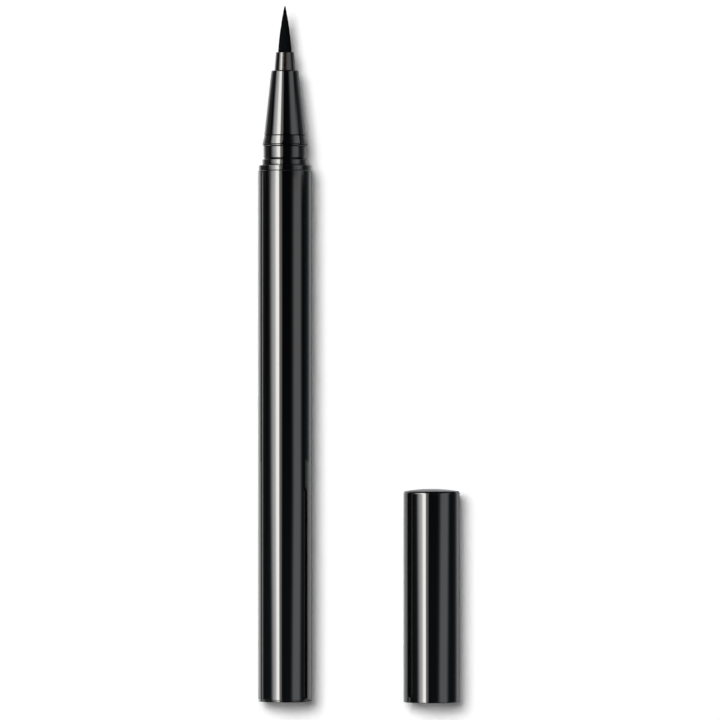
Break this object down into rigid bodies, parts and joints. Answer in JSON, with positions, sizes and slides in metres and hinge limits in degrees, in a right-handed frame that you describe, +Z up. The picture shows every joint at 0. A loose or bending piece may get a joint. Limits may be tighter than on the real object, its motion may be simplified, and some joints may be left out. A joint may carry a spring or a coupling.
{
  "type": "liquid eyeliner pen",
  "caption": "Slim round liquid eyeliner pen with a pointed fibre nib, its pull-off cap lying beside it; opens to a spring-loaded sealing inner cap and a finned ink collector.",
  "frame": {"origin": "centre of the footprint of pen and cap, on the surface that they lie on", "axes": "+Y along the pen from its rear end to its nib, +X from the pen to the cap beside it, +Z up"},
  "size_m": [0.0372, 0.1286, 0.0104],
  "materials": {
    "black_lacquer": "deep black high-gloss lacquer on a moulded shell",
    "black_moulding": "black plastic moulded in a polished tool",
    "gunmetal": "dark brown-black gloss moulding",
    "nib_fibre": "pressed fibre, soaked black, matte",
    "tank_plastic": "natural polypropylene, satin",
    "white_plastic": "white moulded plastic, satin",
    "wick_fibre": "bonded fibre rod, matte",
    "polished_steel": "polished stainless steel"
  },
  "bodies": {
    "pen": {"barrel": "black_lacquer", "tail_plug": "black_lacquer", "grip_section": "black_moulding", "nose_cone": "black_moulding", "nib_holder": "gunmetal", "nib": "nib_fibre", "ink_tank": "tank_plastic", "collector": "white_plastic", "relay_wick": "wick_fibre"},
    "ball": {"stirring_ball": "polished_steel"},
    "cap": {"cap_shell": "black_lacquer", "cap_liner": "white_plastic", "inner_cap_spring": "polished_steel"},
    "inner_cap": {"inner_cap": "white_plastic"}
  },
  "joints": [
    {"name": "cap_pull", "type": "slide", "parent": "pen", "child": "cap", "axis": [0, 1, 0], "range_m": [0, 0.09825]},
    {"name": "inner_cap_press", "type": "slide", "parent": "cap", "child": "inner_cap", "axis": [0, 1, 0], "range_m": [0, 0.0018], "stiffness_N_per_m": 500, "springref_m": -0.001, "deforming": ["inner_cap_spring"]},
    {"name": "ball_roll", "type": "slide", "parent": "pen", "child": "ball", "axis": [0, 1, 0], "range_m": [0, 0.0521]}
  ]
}
